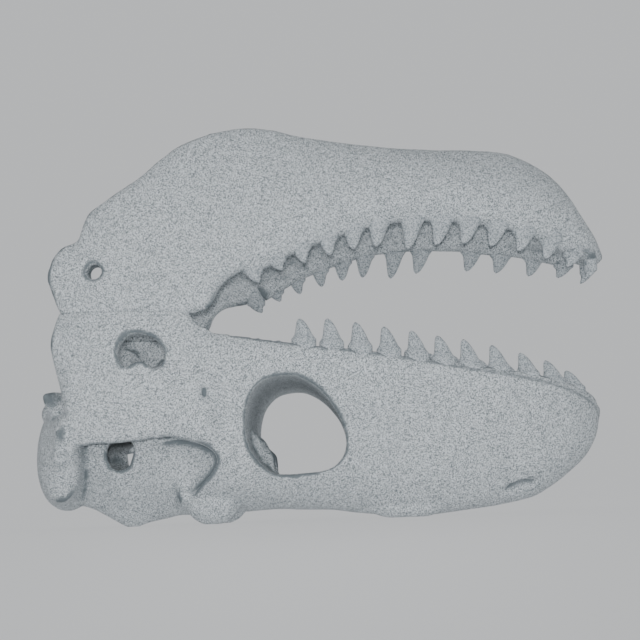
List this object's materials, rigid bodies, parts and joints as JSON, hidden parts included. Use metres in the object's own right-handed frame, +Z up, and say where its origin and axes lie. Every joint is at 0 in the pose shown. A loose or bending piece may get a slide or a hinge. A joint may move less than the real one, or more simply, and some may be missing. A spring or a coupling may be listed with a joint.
{
  "type": "theropod dinosaur skull",
  "caption": "Life-size tyrannosaur-like skull lying upside down on its skull roof, with the lower jaw gaping above it.",
  "frame": {"origin": "middle of the length and width at the floor the skull roof rests on", "axes": "+X towards the snout, +Z up, so the animal's own up is -Z and its left side is -Y"},
  "size_m": [1.273, 0.52, 0.8436],
  "materials": {
    "bone": "pale blue-grey cast bone, matt and finely pitted",
    "tooth": "pale blue-grey tooth enamel, smoother than the bone"
  },
  "bodies": {
    "root": {"snout_tip": "bone", "snout": "bone", "braincase": "bone", "cheek_left": "bone", "cheek_right": "bone", "occiput": "bone", "lower_jaw_left": "bone", "lower_jaw_right": "bone"}
  },
  "joints": []
}
